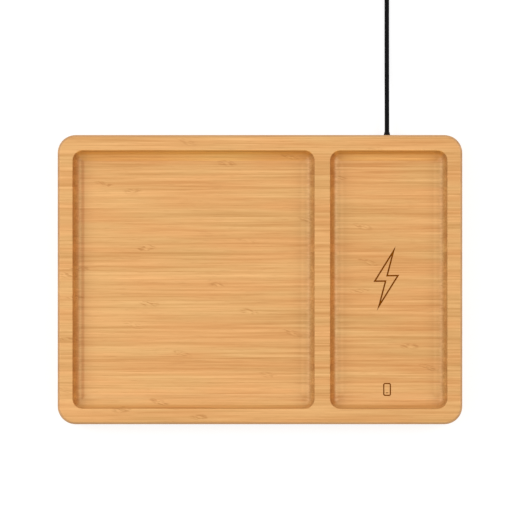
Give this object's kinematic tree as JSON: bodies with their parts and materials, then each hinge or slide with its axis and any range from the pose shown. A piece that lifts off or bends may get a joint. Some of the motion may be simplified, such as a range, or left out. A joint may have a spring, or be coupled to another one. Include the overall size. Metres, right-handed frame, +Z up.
{
  "type": "wireless charging tray",
  "caption": "Flat rounded bamboo tray with a wide catch-all pocket and a phone pocket that charges by induction, on rubber feet, with a thin round USB lead from its back edge.",
  "frame": {"origin": "middle of the tray's footprint, on the surface that its feet stand on", "axes": "+Z up, +X along the tray's long side towards the phone pocket, +Y towards the back edge where the lead leaves"},
  "size_m": [0.27, 0.335, 0.0195],
  "materials": {
    "bamboo": "side-pressed bamboo, sanded, satin oil finish",
    "cover_plastic": "black ABS, fine spark texture",
    "screw_steel": "black-zinc steel",
    "foot_rubber": "black silicone rubber, matt",
    "film": "amber polyimide film",
    "copper": "enamelled copper strand",
    "ferrite": "sintered ferrite, matt dark grey",
    "carrier_plastic": "natural white ABS",
    "foam": "grey PE foam",
    "bead_epoxy": "dark epoxy bead",
    "lead_enamel": "tinned thin lead, clear sleeve",
    "board": "green solder mask over glass-epoxy board",
    "chip_black": "black moulded epoxy, tinned terminals",
    "ceramic": "tan ceramic with tinned ends",
    "inductor": "dark grey moulded iron powder",
    "crystal_can": "metal can",
    "jacket": "black PVC jacket, satin",
    "core_red": "red PVC insulation",
    "core_black": "black PVC insulation",
    "core_white": "white PVC insulation",
    "core_green": "green PVC insulation",
    "relief_rubber": "black soft rubber",
    "tie_fabric": "black hook-and-loop strap",
    "grip_plastic": "black moulded PVC, fine texture",
    "plug_steel": "nickel-plated steel",
    "tongue_plastic": "white moulded nylon",
    "contact_gold": "gold-plated contacts"
  },
  "bodies": {
    "root": {"bamboo_tray": "bamboo", "board_screws": "screw_steel", "bottom_cover": "cover_plastic", "bulk_capacitors": "ceramic", "charger_chip": "chip_black", "chip_parts": "chip_black", "circuit_board": "board", "clamp_screws": "screw_steel", "coil_carrier": "carrier_plastic", "coil_leads": "copper", "cord_clamp": "carrier_plastic", "cord_coil": "jacket", "cord_inlet": "jacket", "cord_run": "jacket", "cord_tail": "jacket", "cord_tie": "tie_fabric", "cover_screws": "screw_steel", "crystal": "crystal_can", "ferrite_shield": "ferrite", "filter_inductor": "inductor", "foam_pad": "foam", "foot_back_left": "foot_rubber", "foot_back_right": "foot_rubber", "foot_front_left": "foot_rubber", "foot_front_right": "foot_rubber", "insulation_film": "film", "plug_contacts": "contact_gold", "plug_grip": "grip_plastic", "plug_shell": "plug_steel", "plug_tongue": "tongue_plastic", "power_transistors": "chip_black", "resonant_capacitors": "ceramic", "strain_relief": "relief_rubber", "thermistor": "bead_epoxy", "thermistor_leads": "lead_enamel", "transmitter_coil": "copper", "wire_black": "core_black", "wire_green": "core_green", "wire_red": "core_red", "wire_white": "core_white"}
  },
  "joints": []
}
